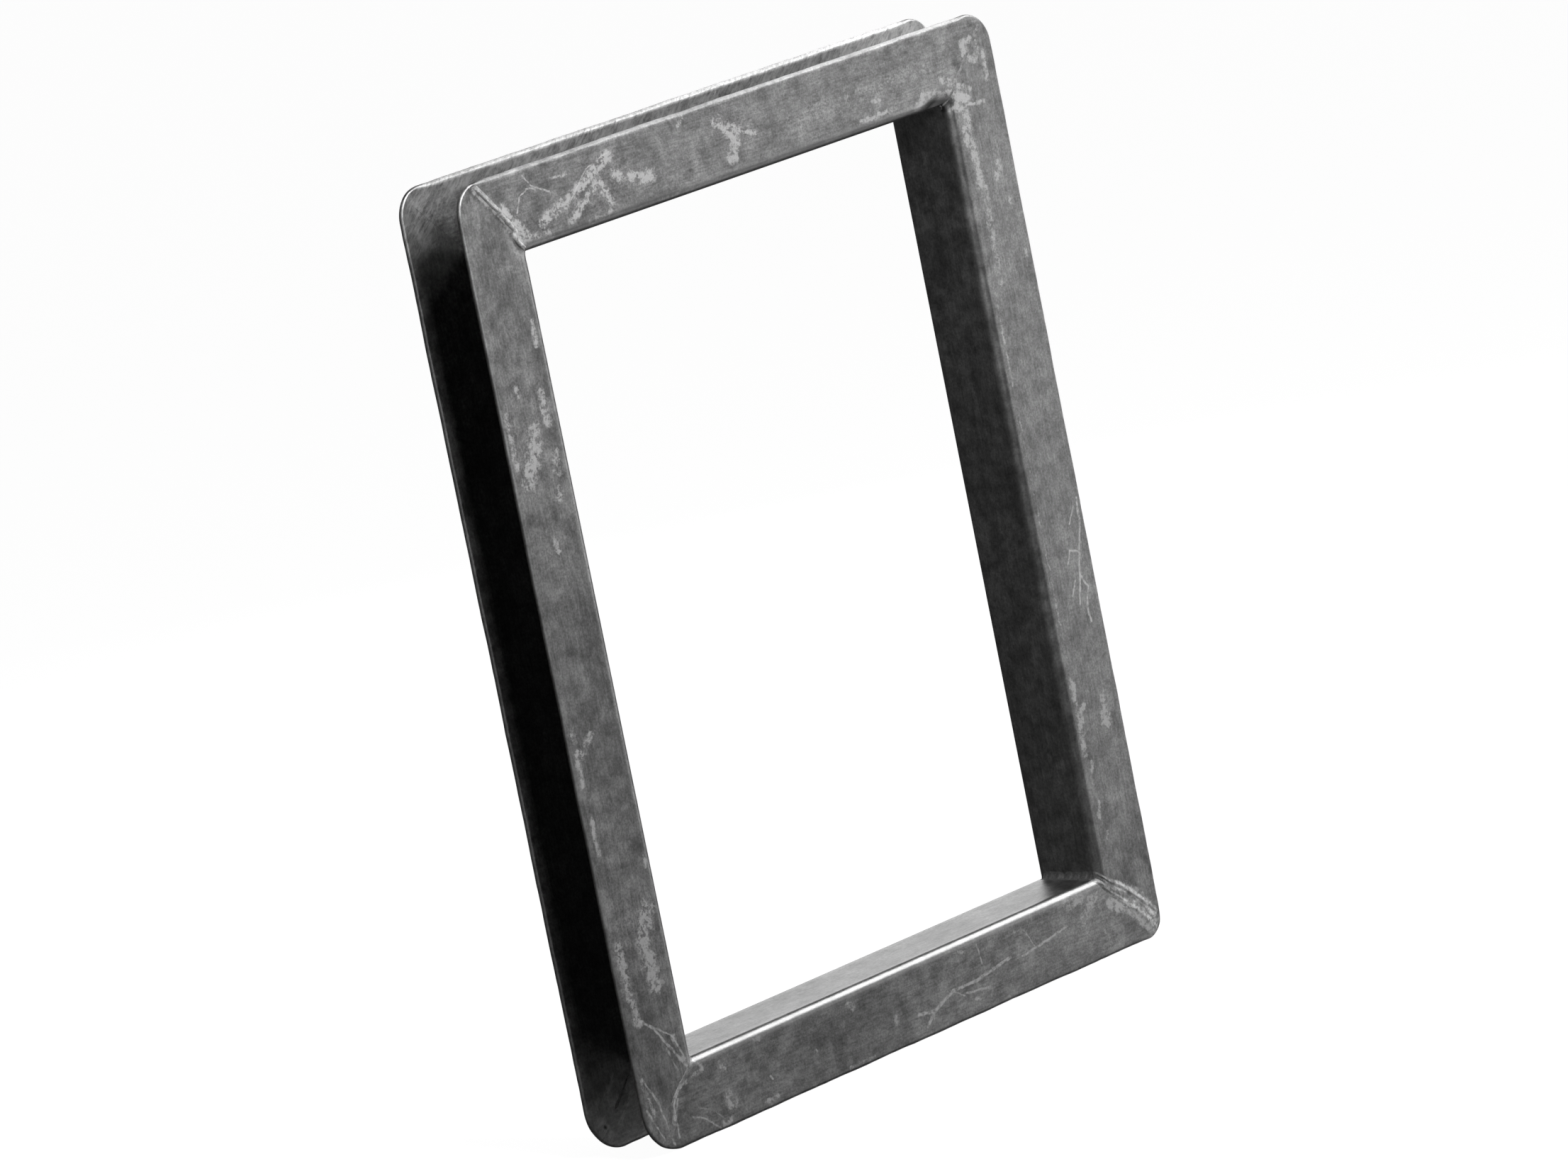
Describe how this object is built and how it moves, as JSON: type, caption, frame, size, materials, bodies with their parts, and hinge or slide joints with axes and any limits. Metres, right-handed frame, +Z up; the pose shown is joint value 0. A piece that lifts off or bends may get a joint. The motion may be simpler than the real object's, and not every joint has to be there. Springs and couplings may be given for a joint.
{
  "type": "screen printing frame",
  "caption": "Welded rectangular frame of folded channel rails, flanges outward and webs lining the opening, that holds a stretched mesh flat for screen printing.",
  "frame": {"origin": "bottom centre of the frame, midway between its two lower flange edges", "axes": "+X along the width, -Y out of the front face, +Z up the height"},
  "size_m": [0.4, 0.044, 0.5],
  "materials": {
    "sheet": "worn, mottled grey with pale scuffs",
    "weld": "hand-ground weld metal"
  },
  "bodies": {
    "root": {"top_rail": "sheet", "right_rail": "sheet", "bottom_rail": "sheet", "left_rail": "sheet", "top_left_front_weld": "weld", "top_left_inside_weld": "weld", "top_left_back_weld": "weld", "top_right_front_weld": "weld", "top_right_inside_weld": "weld", "top_right_back_weld": "weld", "bottom_right_front_weld": "weld", "bottom_right_inside_weld": "weld", "bottom_right_back_weld": "weld", "bottom_left_front_weld": "weld", "bottom_left_inside_weld": "weld", "bottom_left_back_weld": "weld", "bottom_left_back_tack_weld": "weld"}
  },
  "joints": []
}
